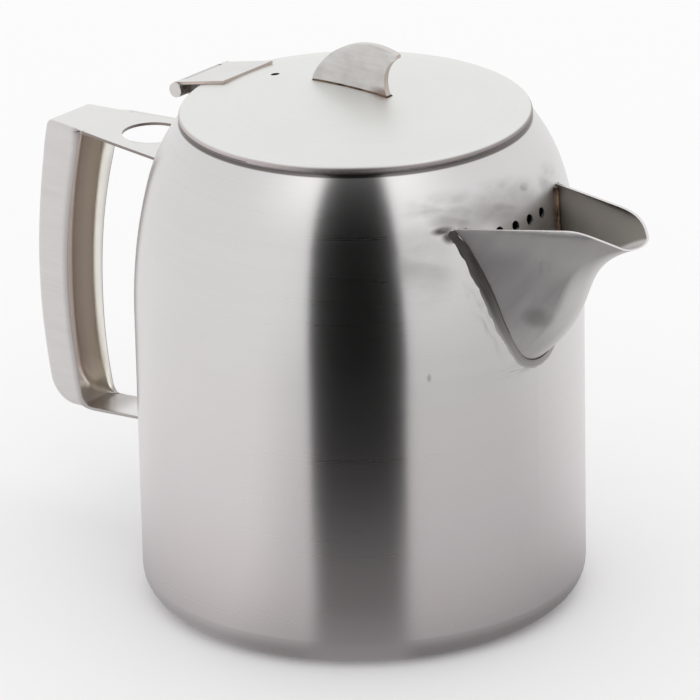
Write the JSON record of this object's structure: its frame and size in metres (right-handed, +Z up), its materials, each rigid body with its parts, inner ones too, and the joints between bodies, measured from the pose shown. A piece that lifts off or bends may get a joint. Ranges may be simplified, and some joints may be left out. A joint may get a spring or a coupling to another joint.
{
  "type": "teapot",
  "caption": "Sheet-steel teapot with a straight drawn body, welded beak spout, channel handle and a hinged lid with a fin knob, for pouring hot drinks",
  "frame": {"origin": "centre of the flat base that stands on the table", "axes": "+X to the spout, -X to the handle and the lid hinge, +Z up, +Y to the left when looking along +X"},
  "size_m": [0.2271, 0.134, 0.1719],
  "materials": {
    "body_steel": "satin brushed stainless steel, fine lines round the body",
    "spout_steel": "satin brushed stainless steel, ground along the weld",
    "weld_steel": "ground weld, darker than the sheet beside it",
    "handle_steel": "satin brushed stainless steel",
    "hinge_steel": "satin brushed stainless steel",
    "pin_steel": "bright drawn stainless steel",
    "lid_steel": "satin brushed stainless steel",
    "knob_steel": "satin brushed stainless steel, cut edges"
  },
  "bodies": {
    "pot": {"body_shell": "body_steel", "spout": "spout_steel", "spout_weld": "weld_steel", "handle": "handle_steel", "hinge_bracket": "hinge_steel", "hinge_pin": "pin_steel"},
    "lid": {"lid": "lid_steel", "lid_knob": "knob_steel", "hinge_leaf": "hinge_steel"}
  },
  "joints": [
    {"name": "lid_hinge", "type": "hinge", "parent": "pot", "child": "lid", "pos_m": [-0.0593, 0, 0.1476], "axis": [0, -1, 0], "range_deg": [0, 160]}
  ]
}
